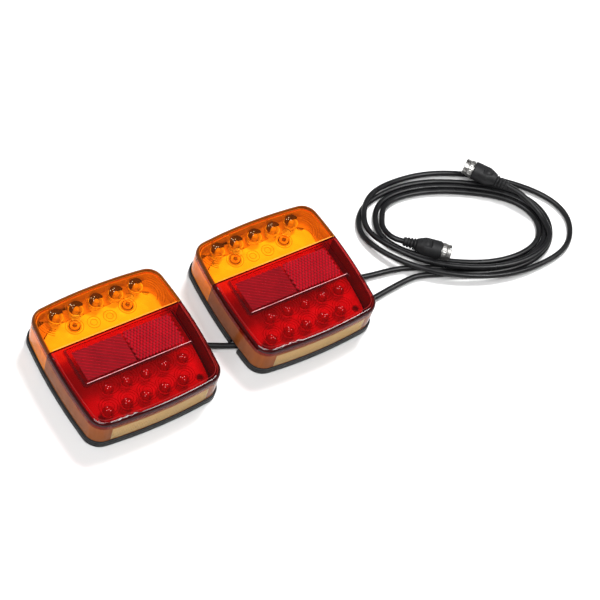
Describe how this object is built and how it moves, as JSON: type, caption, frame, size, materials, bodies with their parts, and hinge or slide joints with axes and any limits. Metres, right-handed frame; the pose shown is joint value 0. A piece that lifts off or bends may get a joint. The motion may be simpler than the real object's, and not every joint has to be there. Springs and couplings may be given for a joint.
{
  "type": "trailer tail light set",
  "caption": "Pair of square amber and red trailer lamps lying on their backs, with leads wound in one loose coil and round plugs with turning metal coupling rings.",
  "frame": {"origin": "on the floor, midway between the backs of the two lamps", "axes": "+X from the left lamp to the right lamp and on to the coiled leads, +Y towards the amber upper side of the lamps, +Z out of the lenses"},
  "size_m": [0.4318, 0.1312, 0.0305],
  "materials": {
    "black_plastic": "fine-grained black ABS",
    "seal_rubber": "matt black rubber",
    "insert_brass": "turned brass",
    "board_white": "white solder mask",
    "screw_steel": "zinc plated",
    "resistor_black": "black ceramic chips",
    "amber_diode": "tinted epoxy",
    "red_diode": "tinted epoxy",
    "white_diode": "clear epoxy with yellow phosphor",
    "tray_white": "glossy white",
    "amber_lens": "clear amber acrylic",
    "red_lens": "clear red acrylic",
    "clear_window": "clear acrylic",
    "reflex_red": "red prismatic acrylic",
    "cord_black": "satin black PVC",
    "plug_black": "moulded black PVC",
    "plug_nickel": "nickel plated",
    "insulator_black": "black nylon",
    "pin_metal": "nickel plated pins"
  },
  "bodies": {
    "root": {"left_base_housing": "black_plastic", "left_base_gasket": "seal_rubber", "left_mount_inserts": "insert_brass", "left_cable_grommet": "seal_rubber", "left_circuit_board": "board_white", "left_board_screws": "screw_steel", "left_board_resistors": "resistor_black", "left_amber_leds": "amber_diode", "left_red_leds": "red_diode", "left_plate_leds": "white_diode", "left_reflector_tray": "tray_white", "left_amber_lens": "amber_lens", "left_red_lens": "red_lens", "left_plate_window": "clear_window", "left_reflex_reflector": "reflex_red", "left_lens_screws": "screw_steel", "left_lead": "cord_black", "left_lead_tail": "cord_black", "left_plug_body": "plug_black", "left_plug_shell": "plug_nickel", "left_plug_insert": "insulator_black", "left_plug_pins": "pin_metal", "right_base_housing": "black_plastic", "right_base_gasket": "seal_rubber", "right_mount_inserts": "insert_brass", "right_cable_grommet": "seal_rubber", "right_circuit_board": "board_white", "right_board_screws": "screw_steel", "right_board_resistors": "resistor_black", "right_amber_leds": "amber_diode", "right_red_leds": "red_diode", "right_plate_leds": "white_diode", "right_reflector_tray": "tray_white", "right_amber_lens": "amber_lens", "right_red_lens": "red_lens", "right_plate_window": "clear_window", "right_reflex_reflector": "reflex_red", "right_lens_screws": "screw_steel", "right_lead": "cord_black", "right_lead_tail": "cord_black", "right_plug_body": "plug_black", "right_plug_shell": "plug_nickel", "right_plug_insert": "insulator_black", "right_plug_pins": "pin_metal", "lead_coil": "cord_black"},
    "left_ring": {"left_coupling_ring": "plug_nickel"},
    "right_ring": {"right_coupling_ring": "plug_nickel"}
  },
  "joints": [
    {"name": "left_ring_turn", "type": "hinge", "parent": "root", "child": "left_ring", "pos_m": [0.25755, 0.0349, 0.012], "axis": [-0.5769, 0.8168, 0], "continuous": true},
    {"name": "right_ring_turn", "type": "hinge", "parent": "root", "child": "right_ring", "pos_m": [0.19701, -0.01774, 0.007], "axis": [0.7586, -0.6516, 0], "continuous": true}
  ]
}
